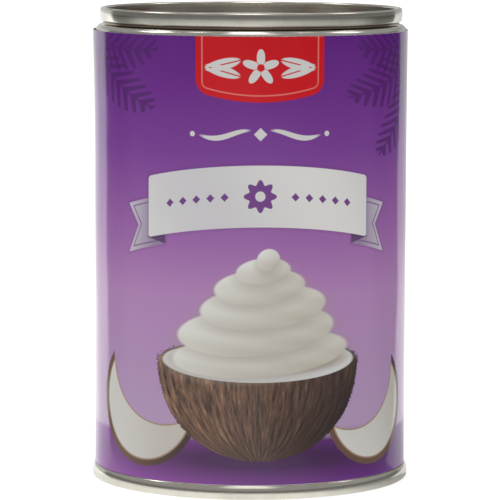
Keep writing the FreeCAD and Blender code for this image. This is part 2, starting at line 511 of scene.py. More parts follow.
class TurnedTree(Tree):
    """Turns a chain of points about the can's axis, with a slight ripple as rollers leave."""

    RIPPLE_SCALE = 110.0

    def __init__(self) -> None:
        """Builds the tree."""
        sizes = {"Profile": bpy.types.Mesh, "Segments": int, "Ripple": float}
        super().__init__("turned_plate", {**sizes, "Finish": bpy.types.Material}, self.PIECE)
        graph = self.graph
        size = graph.add("GeometryNodeAttributeDomainSize", self.given("Profile"), component="MESH")
        count = graph.field(size.outputs["Point Count"])
        sheet, around, along = self.grid(self.value("Segments") + 1.0, count)

        number = (along * (count - 1.0)).run("ROUND")
        corner = self.sample(graph.add("GeometryNodeInputPosition").outputs[0], "FLOAT_VECTOR", number)
        angle = around * -math.tau
        turned = graph.add("ShaderNodeVectorRotate", rotation_type="Z_AXIS", Vector=corner, Angle=angle)
        ripple = (graph.noise(turned.outputs[0], self.RIPPLE_SCALE) - 0.5) * self.value("Ripple")
        x, y, _ = graph.parts(turned.outputs[0])
        outward = ripple / length_of(x, y).at_least(MM)
        way = self.sample(self.read("way", "FLOAT"), "FLOAT", number)
        marked = self.store(sheet, self.CHART, "FLOAT2", "CORNER", graph.vector(around, way))
        offset = graph.vector(x * outward, y * outward)
        shaped = graph.add("GeometryNodeSetPosition", marked, Position=turned.outputs[0], Offset=offset)
        self.finish(shaped.outputs[0])

    def sample(self, value: object, kind: str, number: Field) -> bpy.types.NodeSocket:
        """A value of some data type, read at a numbered point of the profile."""
        feeds = {"Geometry": self.given("Profile"), "Value": value, "Index": number}
        return self.graph.add("GeometryNodeSampleIndex", data_type=kind, domain="POINT", **feeds).outputs[0]

    def turn(
        self, name: str, points: list[Vector], segments: int, ripple: float, finish: bpy.types.Material
    ) -> bpy.types.Object:
        """Turns a closed run of points.

        Args:
            name: the piece's name.
            points: radius and height of each, in millimetres.
            segments: faces round the axis.
            ripple: how far the surface wanders in or out, in millimetres.
            finish: its material.

        Returns:
            The piece.
        """
        chain = bpy.data.meshes.new(name + "_profile")
        corners = [(point.x * MM, 0.0, point.y * MM) for point in points]
        chain.from_pydata(corners, [(i, i + 1) for i in range(len(corners) - 1)], [])
        runs = (0.0, *((b - a).length for a, b in zip(points, points[1:])))
        ways = list(accumulate(runs))
        marks = chain.attributes.new("way", "FLOAT", "POINT")
        marks.data.foreach_set("value", [way / ways[-1] for way in ways])
        return self.make(name, chain, Segments=segments, Ripple=ripple * MM, Finish=finish)


class WrapTree(Tree):
    """Wraps a sheet round the can, its far end glued over its near one at the back.

    The sheet's front face is charted in two bands, one for either half. Its back and its edges
    share a narrow strip above them.
    """

    LENGTHS = ("Radius", "Lap", "Ramp", "Paper", "Foot", "Height", "Slant", "Free", "Lean", "Wander")
    # How far the far end lies over the near one, as a share of the paper's thickness.
    LAP_LIFT = 1.12
    WANDER_SCALE = 22.0
    LEAST_LEAN = 0.24
    # The height of a band, then the strip's size, the step to the outer edge, and its corner.
    BAND = 0.48
    STRIP_SPAN = (0.97, 0.026)
    STRIP_EDGE = (0.012, 0.003)
    STRIP_START = (0.008, 0.967)

    def __init__(self) -> None:
        """Builds the tree."""
        lengths = dict.fromkeys(self.LENGTHS, float)
        counts = {"Columns": int, "Rows": int, "Finish": bpy.types.Material}
        super().__init__("wrapped_paper", {"Start": bpy.types.Mesh, **lengths, **counts}, self.PIECE)
        graph = self.graph
        sheet, across, up = self.grid(self.value("Columns"), self.value("Rows"))
        around = (across - 0.5) * self.length()
        angle = around / self.value("Radius")
        rise = (up.flipped() * up.flipped()).flipped() * self.value("Height")
        named = self.store(sheet, "print", "FLOAT_VECTOR", "POINT", graph.vector(around, rise))
        shaped = graph.add("GeometryNodeSetPosition", named, Position=self.place(around, angle, rise))
        self.finish(self.store(self.thicken(shaped), self.CHART, "FLOAT2", "CORNER", self.chart()))

    def length(self) -> Field:
        """How long the sheet is."""
        return self.value("Radius") * math.tau + self.value("Lap")

    def place(self, around: Field, angle: Field, rise: Field) -> bpy.types.NodeSocket:
        """Where a point of the sheet lies on the can.

        Args:
            around: how far it is along the sheet from the front.
            angle: the same way as an angle.
            rise: how far up the sheet it is.

        Returns:
            Its place.
        """
        graph = self.graph
        radius, lap, ramp = self.value("Radius"), self.value("Lap"), self.value("Ramp")
        east, south = angle.sine(), angle.run("COSINE")
        wander = graph.noise(graph.vector(east, south, rise * self.WANDER_SCALE), 1.0) - 0.5
        over = (around - (radius * math.pi - lap / 2 - ramp)) / ramp
        free = ((rise - self.value("Height")) / self.value("Free") + 1.0).kept()
        west = (east * -0.5) + 0.5
        lean = (west * west * (1.0 - self.LEAST_LEAN) + self.LEAST_LEAN) * self.value("Lean")
        lift = over.kept() * self.value("Paper") * self.LAP_LIFT
        reach = radius + lift + free * free * lean + (wander + 0.5) * self.value("Wander")
        height = rise + self.value("Foot") + angle * self.value("Slant")
        return graph.vector(reach * east, -(reach * south), height)

    def thicken(self, shaped: bpy.types.Node) -> bpy.types.NodeSocket:
        """Gives the sheet the paper's thickness, and marks its front face.

        Args:
            shaped: the node that puts the sheet in its place.

        Returns:
            The paper.
        """
        graph = self.graph
        sizes = {"Offset_Scale": self.value("Paper"), "Individual": False}
        raised = graph.add("GeometryNodeExtrudeMesh", shaped.outputs[0], mode="FACES", **sizes)
        skin = self.store(raised.outputs[0], "skin", "FLOAT", "POINT", raised.outputs["Top"])
        outer = self.store(skin, "outside", "FLOAT", "FACE", raised.outputs["Top"])
        inner = graph.add("GeometryNodeFlipFaces", shaped.outputs[0]).outputs[0]
        joined = graph.add("GeometryNodeJoinGeometry", inner)
        graph.feed(joined.inputs[0], outer)
        return joined.outputs[0]

    def chart(self) -> bpy.types.NodeSocket:
        """Where each point of the paper lies on its chart.

        Returns:
            The place on the chart.
        """
        graph = self.graph
        flat_x, flat_z, _ = graph.parts(self.read("print", "FLOAT_VECTOR"))
        u, v = flat_x / self.length() + 0.5, flat_z / self.value("Height")
        half = self.on_faces(u).above(0.5)
        skin = self.read("skin", "FLOAT")
        outside = self.on_faces(self.read("outside", "FLOAT")).above(0.5)
        front = (u * 2.0 - half, (v + half) * self.BAND)
        strip = (
            way * span + skin * edge + start
            for way, span, edge, start in zip((u, v), self.STRIP_SPAN, self.STRIP_EDGE, self.STRIP_START)
        )
        return graph.vector(*(low + (high - low) * outside for low, high in zip(strip, front)))


# Shared effects


class Effect(NodeGroup):
    """A shader group that several finishes place, each with its own values.

    It reads a place in millimetres and gives numbers.
    """

    def __init__(self, name: str, inputs: tuple[str, ...], outputs: tuple[str, ...]) -> None:
        """Makes the group.

        Args:
            name: the group's name.
            inputs: the titles of the numbers that it takes.
            outputs: the titles of those that it gives.
        """
        taken = {"Place": Vector, **dict.fromkeys(inputs, float)}
        super().__init__(name, taken, dict.fromkeys(outputs, float))
        self.where = self.given("Place")

    def place(self, graph: Graph, where: bpy.types.NodeSocket, **values: float) -> dict[str, Field]:
        """Puts the effect in a material, and gives its outputs by name."""
        node = graph.add("ShaderNodeGroup", node_tree=self.tree, Place=where, **values)
        return {output.name: graph.field(output) for output in node.outputs if output.name}


class RolledGrain(Effect):
    """Fine lines that rolling leaves along a sheet, and its slow unevenness."""

    CLOUD_SCALE = 0.16

    def __init__(self) -> None:
        """Builds the group."""
        super().__init__("rolled_grain", ("Along", "Across"), ("Lines", "Cloud"))
        graph = self.graph
        x, y, z = graph.parts(self.where)
        along, across = self.value("Along"), self.value("Across")
        drawn = graph.vector(x * along, y * across, z * across)
        lines = graph.noise(drawn, 1.0, detail=3.0, rough=0.65)
        cloud = graph.noise(self.where, self.CLOUD_SCALE, detail=3.0, rough=0.6)
        graph.add("NodeGroupOutput", Lines=lines, Cloud=cloud)


class Handling(Effect):
    """Marks of packing and handling: soft smudges, and thin rubs."""

    SMUDGE_SCALE = 0.22
    SMUDGE = Fade(0.47, 0.72)
    RUB = Fade(0.66, 0.74)
    RUB_SLANTS = (0.6, 0.4)
    RUB_SCALES = (0.09, 1.3, 2.2)

    def __init__(self) -> None:
        """Builds the group."""
        super().__init__("handling", ("Amount", "Size"), ("Smudge", "Rub"))
        graph = self.graph
        amount, size = self.value("Amount"), self.value("Size")
        x, y, z = graph.parts(self.where)
        slanted = (x + z * self.RUB_SLANTS[0], y, z - x * self.RUB_SLANTS[1])
        drawn = graph.vector(*(way * size * scale for way, scale in zip(slanted, self.RUB_SCALES)))
        smudge = graph.noise(self.where, size * self.SMUDGE_SCALE, detail=4.0, rough=0.65)
        rub = graph.noise(drawn, 1.0)
        graph.add("NodeGroupOutput", Smudge=self.SMUDGE.of(smudge) * amount, Rub=self.RUB.of(rub) * amount)


# Finishes


class Finish:
    """A material with its graph and its Principled shader."""

    def __init__(self, name: str) -> None:
        """Starts an empty material.

        Args:
            name: the material's name.
        """
        self.material = bpy.data.materials.new(name)
        self.graph = emptied(self.material)
        self.shader = self.graph.add("ShaderNodeBsdfPrincipled")
        self.graph.add("ShaderNodeOutputMaterial", self.shader.outputs[0], target="ALL")
        space = self.graph.add("ShaderNodeTexCoord").outputs["Object"]
        scaled = self.graph.add("ShaderNodeVectorMath", space, operation="SCALE", Scale=1 / MM)
        self.place = scaled.outputs[0]

    def give(self, **values: object) -> None:
        """Sets the shader's inputs by name, with spaces written as underscores."""
        for title, value in values.items():
            self.graph.feed(self.shader.inputs[title.replace("_", " ")], value)

    def bump(self, height: Field, depth: float) -> bpy.types.NodeSocket:
        """A bump of a depth in millimetres."""
        return self.graph.add("ShaderNodeBump", Distance=depth * MM, Height=height).outputs["Normal"]


@dataclass(frozen=True)
class Tinplate:
    """Bright tinned steel, with painted shade darkening the groove inside a seam and the neck above a height
    under the top seam, where these are set.
    """

    name: str
    turned: bool = False
    groove: float = 0.0
    gap: float = 0.0
    bright: tuple[int, int, int] = (228, 225, 216)
    dull: tuple[int, int, int] = (205, 200, 189)
    smooth: float = 0.10
    rough: float = 0.20
    lines_rough: float = 0.06
    rubs_rough: float = 0.08
    rubs_relief: float = 0.5
    relief: float = 0.0025
    cloud: Fade = Fade(0.35, 0.75, 0.5)
    smudge: float = 0.35
    radius: float = 36.0
    height: float = 110.4
    # Painted shade for the groove inside each seam: a darker colour with warm brown patches over the bright
    # tin.
    shade: tuple[int, int, int] = (162, 158, 150)
    warm_patch: tuple[int, int, int] = (150, 116, 102)
    warm_patch_size: float = 0.055
    warm_patches: Fade = Fade(0.50, 0.64)
    groove_rough: float = 0.20
    groove_sides: tuple[Fade, Fade] = (Fade(0.25, 0.05), Fade(-4.0, -2.0))
    groove_depth: Fade = Fade(0.4, 1.3)
    # Painted shade on the neck under the top seam, from the height given as gap up: its colour and how soft
    # its lower edge is.
    gap_painted_shade: tuple[int, int, int] = (124, 104, 94)
    gap_edge: float = 0.4

    def make(self, grain: RolledGrain, handling: Handling) -> bpy.types.Material:
        """Builds the material.

        Args:
            grain: the shared lines of the sheet.
            handling: the shared marks.

        Returns:
            The material.
        """
        finish = Finish(self.name)
        graph = finish.graph
        where = finish.place
        x, y, z = graph.parts(where)
        if self.turned:
            where = graph.vector(y.run("ARCTAN2", x) * self.radius, length_of(x, y), z)
        lines = grain.place(graph, where, Along=0.05, Across=5.0)
        marks = handling.place(graph, finish.place, Amount=0.7, Size=1.2)
        dullness = (self.cloud.of(lines["Cloud"]) + marks["Smudge"] * self.smudge).kept()
        colour = graph.blend(dullness, ink(*self.bright), ink(*self.dull))
        spread = dullness * (self.rough - self.smooth) + lines["Lines"] * self.lines_rough + self.smooth
        # Painted shade: the groove inside each seam is darkened, patched warm brown and made rougher.
        if self.groove:
            mask = self.groove_shade_mask(length_of(x, y), z)
            warm = self.warm_patches.of(graph.noise(finish.place, self.warm_patch_size))
            colour = graph.blend(mask, colour, graph.blend(warm, ink(*self.shade), ink(*self.warm_patch)))
            spread = spread + mask * self.groove_rough
        # Painted shade: the neck under the top seam is darkened and warmed.
        if self.gap:
            colour = graph.blend(z.ramp(self.gap, self.gap + self.gap_edge), colour, ink(*self.gap_painted_shade))
        finish.give(
            Base_Color=colour,
            Metallic=1.0,
            Roughness=spread + marks["Rub"] * self.rubs_rough,
            Normal=finish.bump(lines["Lines"] + marks["Rub"] * self.rubs_relief, self.relief),
        )
        return finish.material

    def groove_shade_mask(self, radius: Field, z: Field) -> Field:
        """Where painted shade darkens the metal, down in the groove inside a seam.

        Args:
            radius: how far out a place is.
            z: how high it is.

        Returns:
            1 in the groove and 0 elsewhere.
        """
        depth = -abs(z - self.height / 2) + self.height / 2
        outer, inner = (side.of(radius - self.groove) for side in self.groove_sides)
        return outer * inner * self.groove_depth.of(depth)


# The print


class Ink(Enum):
    """The inks of the print, as screens show them."""

    WHITE = (206, 205, 203)
    RED = (201, 8, 22)
    RED_HIGH = (192, 8, 22)
    RED_RULE = (222, 128, 120)
    LEAF = (70, 22, 92)
    GROUND = (140, 68, 160)
    GROUND_DEEP = (104, 34, 132)
    SHADOW = (52, 24, 60)
    RIBBON = (218, 217, 214)
    RIBBON_SHADE = (202, 200, 202)
    RIBBON_RULE = (124, 78, 142)
    RIBBON_MARK = (112, 62, 132)
    RIBBON_SHADOW = (62, 24, 80)
    TAIL = (192, 184, 196)
    TAIL_DEEP = (142, 124, 152)
    TAIL_RULE = (118, 84, 134)
    TURN = (92, 62, 106)
    HUSK = (142, 106, 84)
    HUSK_DEEP = (44, 32, 30)
    HUSK_GAP = (40, 29, 27)
    HUSK_FIBRE = (186, 146, 114)
    HOLLOW = (168, 160, 150)
    CREAM = (220, 219, 213)
    CREAM_DEEP = (176, 168, 152)
    CREAM_FOLD = (150, 140, 128)
    RIND = (104, 76, 62)
    RIND_DEEP = (62, 44, 38)
    SKIN = (158, 132, 106)
    FLESH = (216, 215, 210)
    FLESH_DEEP = (190, 184, 176)
    WORN = (206, 200, 204)
    PULP = (226, 222, 214)
    PULP_DEEP = (196, 190, 182)


def disc(x: Field, z: Field, wide: float, high: float) -> Field:
    """About how far a place lies outside an ellipse, below zero inside it."""
    return (length_of(x / wide, z / high) - 1.0) * min(wide, high)


@dataclass(frozen=True)
class Oval:
    """An ellipse of the print: its middle, half width and half height."""

    x: float
    z: float
    wide: float
    high: float

    def at(self, x: Field, z: Field) -> Field:
        """About how far a place lies outside it, below zero inside."""
        return disc(x - self.x, z - self.z, self.wide, self.high)


@dataclass(frozen=True)
class Flower:
    """A round flower of the print, whose outline swings in and out about its size."""

    petals: float
    size: float
    swing: float
    turn: float = 0.0

    def at(self, x: Field, z: Field) -> Field:
        """About how far a place lies outside it, below zero inside."""
        spin = z.run("ARCTAN2", x) * self.petals + self.turn
        return length_of(x, z) - spin.sine() * self.swing - self.size


def block(x: Field, z: Field, wide: float, high: float, corner: float) -> Field:
    """How far a place lies outside a rectangle with round corners, below zero inside it."""
    sides = ((abs(way) - (half - corner)).at_least(0.0) for way, half in ((x, wide), (z, high)))
    return length_of(*sides) - corner


def rule(shape: Field, inset: float, half: float) -> Field:
    """A line of some half width that runs inside a shape's edge, below zero on it."""
    return abs(shape + inset) - half


def swung(x: Field, z: Field, degrees: float) -> tuple[Field, Field]:
    """A place read on axes swung by an angle."""
    cos, sin = math.cos(math.radians(degrees)), math.sin(math.radians(degrees))
    return x * cos + z * sin, z * cos - x * sin


@dataclass
class Canvas:
    """Inks laid one over another on a sheet. x runs across from the middle of its front, z up."""

    graph: Graph
    x: Field
    z: Field
    colour: bpy.types.NodeSocket

    EDGE = 0.14

    def lay(self, shape: Field, colour: object, edge: float = EDGE, strength: float = 1.0) -> None:
        """Lays an ink where a shape's field is below zero.

        Args:
            shape: the field.
            colour: the ink, or its socket.
            edge: how soft the shape's edge is.
            strength: how much it covers.
        """
        mask = shape.inside(edge)
        if strength != 1.0:
            mask = mask * strength
        self.colour = self.graph.blend(mask, self.colour, colour)


@dataclass(frozen=True)
class Light:
    """How light a shape is printed, from 0 to 1, in a straight slope over it."""

    middle: float
    across: float
    up: float

    def at(self, x: Field, z: Field) -> Field:
        """The lightness at a place."""
        return (x * self.across + z * self.up + self.middle).kept()


class Motif:
    """A shape of the print."""

    def lay(self, canvas: Canvas) -> None:
        """Prints it, which each motif does in its own way."""
        raise NotImplementedError


@dataclass(frozen=True)
class Ground(Motif):
    """The darker ground under the bowl, with its soft shadow."""

    top: float = 13.4
    soft: float = 1.1
    turning: Fade = Fade(-18.0, 28.0)
    shadow: Oval = Oval(1.5, 9.0, 40.0, 4.6)

    def lay(self, canvas: Canvas) -> None:
        """Prints it.

        Args:
            canvas: the inks so far.
        """
        tone = canvas.graph.blend(self.turning.of(canvas.x), Ink.GROUND, Ink.GROUND_DEEP)
        canvas.lay(canvas.z - self.top, tone, self.soft)
        canvas.lay(self.shadow.at(canvas.x, canvas.z), Ink.SHADOW, edge=5.5, strength=0.85)


@dataclass(frozen=True)
class Spray(Motif):
    """A dark feathered leaf: where its stalk starts, and how it leans, runs and bows."""

    x: float
    z: float
    lean: float
    run: float
    bow: float
    wide: float = 6.4
    pitch: float = 2.9
    sweep: float = 0.9
    half_gap: float = 0.34
    stalk: float = 0.28
    least: float = 0.2
    soft: float = 0.4
    strength: float = 0.72

    def lay(self, canvas: Canvas) -> None:
        """Prints it.

        Args:
            canvas: the inks so far.
        """
        along, across = swung(canvas.x - self.x, canvas.z - self.z, self.lean)
        across = across - along * along * self.bow
        share = (along / self.run).kept()
        reach = (share * share.flipped()).root() * (2 * self.wide)
        comb = (along - abs(across) * self.sweep) / self.pitch
        blade = (abs(comb.run("FRACT") - 0.5) - self.half_gap) * self.pitch
        blade = blade + abs(across) / reach.at_least(self.least) * 0.5
        ends = abs(along - self.run / 2) - self.run / 2
        leaf = blade.at_least(abs(across) - reach).at_most(abs(across) - self.stalk).at_least(ends)
        canvas.lay(leaf, Ink.LEAF, self.soft, self.strength)


@dataclass(frozen=True)
class Tab(Motif):
    """The red tab at the upper edge, with a plain rosette between two split leaves on a side."""

    foot: float = 90.2
    half_wide: float = 14.8
    half_high: float = 12.0
    corner: float = 2.6
    bow: float = 0.011
    darkening: Fade = Fade(90.0, 105.0)
    rule_inset: float = 1.5
    rule_half: float = 0.16
    rule_strength: float = 0.8
    middle: float = 98.0
    flower: Flower = Flower(5.0, 2.9, 1.3)
    petal_gap: float = 0.16
    eye: Oval = Oval(0.0, 0.0, 0.85, 0.85)
    leaf_x: float = 8.6
    leaf_leans: tuple[float, float] = (16.0, -14.0)
    leaf_spread: float = 0.05
    leaf_long: float = 4.1
    leaf_wide: float = 1.25
    leaf_gap: float = 0.14

    def lay(self, canvas: Canvas) -> None:
        """Prints it.

        Args:
            canvas: the inks so far.
        """
        x, z = canvas.x, canvas.z
        sunk = z - (self.foot + self.half_high) - x * x * self.bow
        tab = block(x, sunk, self.half_wide, self.half_high, self.corner)
        canvas.lay(tab, canvas.graph.blend(self.darkening.of(z), Ink.RED, Ink.RED_HIGH))
        canvas.lay(rule(tab, self.rule_inset, self.rule_half), Ink.RED_RULE, strength=self.rule_strength)
        up = z - self.middle
        spin = up.run("ARCTAN2", x) * (self.flower.petals / 2) + math.pi / 4
        gaps = abs(spin.sine()) * length_of(x, up) - self.petal_gap
        canvas.lay(self.flower.at(x, up).at_least(-gaps), Ink.WHITE)
        canvas.lay(self.eye.at(x, up), Ink.RED)
        for lean in self.leaf_leans:
            along, across = swung(abs(x) - self.leaf_x, up + lean * self.leaf_spread, lean)
            leaf = disc(along, across, self.leaf_long, self.leaf_wide)
            canvas.lay(leaf.at_least(-(abs(across) - self.leaf_gap)), Ink.WHITE)


@dataclass(frozen=True)
class Flourish(Motif):
    """Two tapered strokes and a lozenge, with a dot at either end."""

    height: float = 83.0
    reach: float = 13.0
    turns: float = 1.6
    swing: float = 0.9
    stroke: float = 0.62
    stroke_shift: float = 1.6
    stroke_trim: float = 1.0
    lozenge: float = 1.5
    dot: float = 0.6
    dot_shift: float = 2.6

    def lay(self, canvas: Canvas) -> None:
        """Prints it.

        Args:
            canvas: the inks so far.
        """
        side, up, half = abs(canvas.x), canvas.z - self.height, self.reach / 2
        wave = up + ((side - half) * (math.pi * self.turns / self.reach)).sine() * self.swing
        stroke = disc(side - half - self.stroke_shift, wave, half - self.stroke_trim, self.stroke)
        lozenge = (side + abs(up) - self.lozenge) * math.sqrt(0.5)
        dots = disc(side - self.reach - self.dot_shift, up, self.dot, self.dot)
        canvas.lay(stroke.at_most(lozenge).at_most(dots), Ink.WHITE)


@dataclass(frozen=True)
class Ribbon(Motif):
    """A bare arched ribbon with folded tails, in place of a title."""

    height: float = 69.0
    arch: float = 0.0042
    half_wide: float = 27.2
    half_high: float = 7.0
    corner: float = 0.7
    tail_drop: float = 3.6
    tail_half: float = 5.6
    tail_start: float = 22.5
    tail_end: float = 30.4
    notch: float = 0.55
    tail_light: Fade = Fade(25.0, 33.0)
    tail_rule: tuple[float, float] = (1.0, 0.14)
    turn_drop: float = 6.8
    turn_rise: float = 2.2
    body_rule: tuple[float, float] = (1.3, 0.15)
    sheen_run: float = 0.11
    sheen_rise: float = 0.05
    bead_start: float = 6.4
    bead_end: float = 22.9
    bead_pitch: float = 3.3
    bead: float = 0.95
    flower: Flower = Flower(8.0, 3.2, 0.55, math.pi / 2)
    eye: Oval = Oval(0.0, 0.0, 1.15, 1.15)

    def lay(self, canvas: Canvas) -> None:
        """Prints the tails, the turned corners and the ribbon over them.

        Args:
            canvas: the inks so far.
        """
        x, side, graph = canvas.x, abs(canvas.x), canvas.graph
        up = canvas.z - self.height + x * x * self.arch
        low = up + self.tail_drop
        tail = (abs(low) - self.tail_half).at_least(side - abs(low) * self.notch - self.tail_end)
        tail = tail.at_least(-(side - self.tail_start))
        canvas.lay(tail, Ink.RIBBON_SHADOW, edge=1.6, strength=0.45)
        canvas.lay(tail, graph.blend(self.tail_light.of(side), Ink.TAIL_DEEP, Ink.TAIL))
        canvas.lay(rule(tail, *self.tail_rule), Ink.TAIL_RULE)
        steep = self.turn_rise / (self.half_wide - self.tail_start)
        turn = (-up - self.half_high) + (side - self.half_wide) * steep
        canvas.lay(turn.at_least(up + self.turn_drop).at_least(-(side - self.tail_start)), Ink.TURN)
        body = block(x, up, self.half_wide, self.half_high, self.corner)
        canvas.lay(body, Ink.RIBBON_SHADOW, edge=2.0, strength=0.4)
        sheen = (x * self.sheen_run + up * self.sheen_rise).sine() * 0.5 + 0.5
        canvas.lay(body, graph.blend(sheen, Ink.RIBBON_SHADE, Ink.RIBBON))
        canvas.lay(rule(body, *self.body_rule), Ink.RIBBON_RULE)
        rosette = self.flower.at(x, up).at_least(-self.eye.at(x, up))
        canvas.lay(self.beads(side, up).at_most(rosette), Ink.RIBBON_MARK)

    def beads(self, side: Field, up: Field) -> Field:
        """A row of small lozenges on either side.

        Args:
            side: how far a place is from the middle.
            up: how far it is above the ribbon's middle.

        Returns:
            A field below zero on them.
        """
        share = ((side - self.bead_start) / self.bead_pitch).run("FRACT") - 0.5
        row = (abs(share) * self.bead_pitch + abs(up) - self.bead) * math.sqrt(0.5)
        return row.at_least(side - self.bead_end).at_least(-(side - self.bead_start))


@dataclass(frozen=True)
class Slice(Motif):
    """A slice of fresh kernel on its rind, leaning beside the bowl."""

    x: float
    z: float
    lean: float
    size: float
    rough: float = 0.9
    rough_scale: float = 1.5
    hollow_up: float = 0.68
    hollow_wide: float = 1.02
    hollow_high: float = 0.94
    rind: float = 1.7
    skin: float = 0.35
    dimness: Light = Light(0.75, 0.5, 0.3)

    def lay(self, canvas: Canvas) -> None:
        """Prints it.

        Args:
            canvas: the inks so far.
        """
        graph, size = canvas.graph, self.size
        x, z = swung(canvas.x - self.x, canvas.z - self.z, self.lean)
        rough = (graph.noise(graph.vector(x, z), self.rough_scale, detail=3.0, rough=0.7) - 0.5) * self.rough
        whole = disc(x, z, size, size)
        hollow = disc(x, z - size * self.hollow_up, size * self.hollow_wide, size * self.hollow_high)
        crescent = whole.at_least(-hollow)
        canvas.lay(crescent + rough, graph.blend((x / size).kept(), Ink.RIND, Ink.RIND_DEEP))
        flesh = crescent.at_least(whole + self.rind)
        canvas.lay(flesh - self.skin, Ink.SKIN, edge=0.3)
        dimness = self.dimness.at(x / size, z / size)
        canvas.lay(flesh, graph.blend(dimness, Ink.FLESH, Ink.FLESH_DEEP), edge=0.2)


@dataclass(frozen=True)
class Bowl(Motif):
    """Half a husked shell on the ground, as a bowl, with its pale rim and its hollow."""

    height: float = 31.0
    half_wide: float = 24.6
    deep: float = 22.5
    brim: float = 5.4
    rim: Oval = Oval(0.0, 0.3, 23.2, 4.7)
    hollow: Oval = Oval(0.0, 0.7, 20.2, 3.4)
    least_girth: float = 0.05
    fibre_across: float = 0.95
    fibre_along: float = 0.16
    fringe: float = 1.5
    fringe_scale: float = 1.6
    streaks: Fade = Fade(0.34, 0.66)
    pale_streaks: Fade = Fade(0.60, 0.78)
    light: Light = Light(0.86, -0.030, 0.018)

    def lay(self, canvas: Canvas) -> None:
        """Prints it.

        Args:
            canvas: the inks so far.
        """
        graph, x, up = canvas.graph, canvas.x, canvas.z - self.height
        girth = ((up / self.deep) * (up / self.deep)).flipped().at_least(self.least_girth).root()
        strands = graph.vector(x / girth * self.fibre_across, up * self.fibre_along)
        fibre = graph.noise(strands, 1.0, detail=4.0, rough=0.7)
        torn = graph.noise(graph.vector(x, up), self.fringe_scale, detail=3.0, rough=0.7)
        shell = disc(x, up, self.half_wide, self.deep).at_least(up)
        shell = shell.at_most(disc(x, up, self.half_wide, self.brim)) + (torn - 0.5) * self.fringe
        light = self.light.at(x, up)
        husk = graph.blend(light, Ink.HUSK_DEEP, Ink.HUSK)
        husk = graph.blend(self.streaks.of(fibre), Ink.HUSK_GAP, husk)
        canvas.lay(shell, graph.blend(self.pale_streaks.of(fibre) * light, husk, Ink.HUSK_FIBRE))
        canvas.lay(self.rim.at(x, up), Ink.WHITE)
        canvas.lay(self.hollow.at(x, up), Ink.HOLLOW, edge=0.8)


@dataclass(frozen=True)
class Cream(Motif):
    """Thick cream heaped on the bowl in folds, each with its place above the bowl's height."""

    height: float = 31.0
    folds: tuple[Oval, ...] = (
        Oval(0.4, 2.0, 21.0, 5.2),
        Oval(-0.8, 7.4, 18.4, 5.8),
        Oval(0.9, 12.8, 14.6, 5.1),
        Oval(0.0, 17.4, 10.4, 4.1),
        Oval(0.8, 21.0, 6.2, 3.0),
        Oval(1.9, 23.6, 2.6, 2.5),
    )
    tilt: float = 0.07
    shadow_drop: float = 0.9
    light: Light = Light(0.62, -0.22, 0.38)
    streaks: tuple[float, float] = (0.35, 1.5)
    streak: float = 0.05

    def lay(self, canvas: Canvas) -> None:
        """Prints it.

        Args:
            canvas: the inks so far.
        """
        for fold in self.folds:
            across = canvas.x - fold.x
            bent = canvas.z - self.height - fold.z - across * self.tilt
            shadow = disc(across, bent + self.shadow_drop, fold.wide, fold.high)
            canvas.lay(shadow, Ink.CREAM_FOLD, edge=2.4, strength=0.55)
            streak = (across * self.streaks[0] + bent * self.streaks[1]).sine() * self.streak
            light = (self.light.at(across / fold.wide, bent / fold.high) + streak).kept()
            tone = canvas.graph.blend(light, Ink.CREAM_DEEP, Ink.CREAM)
            canvas.lay(disc(across, bent, fold.wide, fold.high), tone, edge=0.3)


